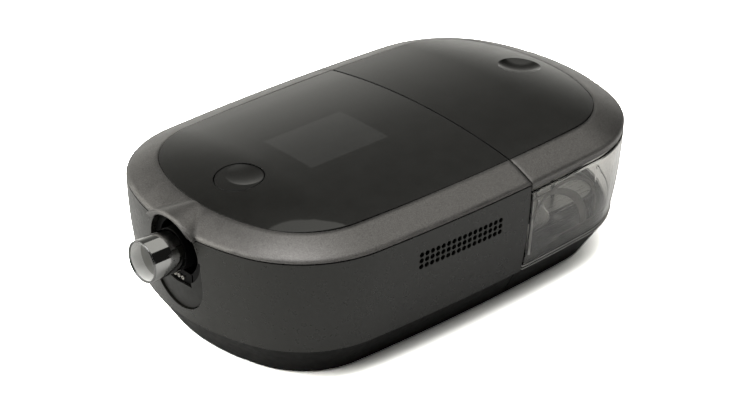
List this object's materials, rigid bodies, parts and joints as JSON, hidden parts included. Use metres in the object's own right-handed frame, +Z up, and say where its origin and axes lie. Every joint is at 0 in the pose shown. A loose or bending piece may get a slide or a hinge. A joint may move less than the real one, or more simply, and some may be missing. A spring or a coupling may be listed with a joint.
{
  "type": "cpap machine",
  "caption": "Low oval table-top breathing machine with a dark glossy panel, round button, chrome air outlet and a clear pull-out water tank under a hinged lid.",
  "frame": {"origin": "on the table plane, under the middle of the machine's overall length and width", "axes": "+Z up, +X towards the water tank, -X out of the air outlet, +Y towards the side with the filter drawer and power inlet"},
  "size_m": [0.2912, 0.1704, 0.0865],
  "materials": {
    "wall_satin": "fine satin, warm dark grey",
    "bezel_metallic": "satin metallic paint with fine flakes",
    "panel_gloss": "high gloss black",
    "base_black": "matt black",
    "recess_black": "matt black",
    "plate_grey": "satin dark grey",
    "outlet_chrome": "polished",
    "clear_tank": "clear, slightly smoky",
    "clear_duct": "clear",
    "lip_grey": "satin",
    "button_gloss": "gloss black, dished",
    "display_glass": "dark display",
    "board_green": "solder mask",
    "chip_black": "moulded",
    "capacitor_sleeve": "sleeved",
    "steel": "turned",
    "contact_brass": "plated",
    "heater_aluminium": "brushed",
    "copper_winding": "lacquered wire",
    "magnet_grey": "plated",
    "silicone_grey": "soft silicone",
    "rubber_black": "matt rubber",
    "inner_white": "moulded",
    "foam_grey": "open-cell foam",
    "filter_white": "pleated fibre",
    "insulator_mica": "fibre board"
  },
  "bodies": {
    "housing": {"main_housing": "wall_satin", "front_bezel": "bezel_metallic", "front_panel": "panel_gloss", "panel_carrier": "chip_black", "main_board": "board_green", "board_screws": "steel", "board_chips": "chip_black", "display_module": "display_glass", "outlet_cup": "recess_black", "outlet_plate": "plate_grey", "outlet_tube": "outlet_chrome", "contact_block": "recess_black", "tube_contacts": "contact_brass", "vent_mesh": "recess_black", "blower_base": "base_black", "base_screws": "steel", "rubber_feet": "rubber_black", "power_board": "board_green", "power_capacitors": "capacitor_sleeve", "power_jack": "recess_black", "jack_contact": "contact_brass", "blower_lower_case": "inner_white", "blower_upper_case": "inner_white", "case_screws": "steel", "motor_cover": "inner_white", "blower_mounts": "silicone_grey", "rotor_bearings": "steel", "stator_core": "magnet_grey", "stator_coils": "copper_winding", "supply_duct": "silicone_grey", "return_duct": "inner_white", "flow_sensor": "chip_black", "port_seals": "silicone_grey", "filter_bay": "chip_black", "muffler_foam": "foam_grey", "button_switch": "chip_black", "button_dome": "silicone_grey", "humidifier_base": "base_black", "heater_plate": "heater_aluminium", "heater_insulator": "insulator_mica", "heater_screws": "steel"},
    "rotor": {"rotor_shaft": "steel", "rotor_magnet": "magnet_grey", "impeller": "inner_white"},
    "button": {"therapy_button": "button_gloss"},
    "filter_drawer": {"filter_cover": "wall_satin", "filter_tray": "plate_grey", "filter_pad": "filter_white"},
    "water_tank": {"tank_bucket": "clear_tank", "tank_base_plate": "heater_aluminium", "tank_plate_gasket": "silicone_grey", "tank_inlet_horn": "clear_duct", "tank_outlet_horn": "clear_duct", "tank_baffle": "clear_duct", "hinge_pin": "steel"},
    "tank_lid": {"lid_bezel": "bezel_metallic", "lid_panel": "panel_gloss", "lid_frame": "lip_grey", "lid_seal": "silicone_grey"}
  },
  "joints": [
    {"name": "blower_spin", "type": "hinge", "parent": "housing", "child": "rotor", "pos_m": [-0.0339, -0.013, 0.04], "axis": [0, 0, 1], "continuous": true},
    {"name": "button_press", "type": "slide", "parent": "housing", "child": "button", "axis": [0, 0, -1], "range_m": [0, 0.001], "stiffness_N_per_m": 900, "springref_m": -0.0005, "deforming": ["button_dome"]},
    {"name": "filter_pull", "type": "slide", "parent": "housing", "child": "filter_drawer", "axis": [0, 1, 0], "range_m": [0, 0.04]},
    {"name": "tank_pull", "type": "slide", "parent": "housing", "child": "water_tank", "axis": [1, 0, 0], "range_m": [0, 0.12]},
    {"name": "lid_open", "type": "hinge", "parent": "water_tank", "child": "tank_lid", "pos_m": [0.1421, 0, 0.07], "axis": [0, 1, 0], "range_deg": [0, 75]}
  ]
}
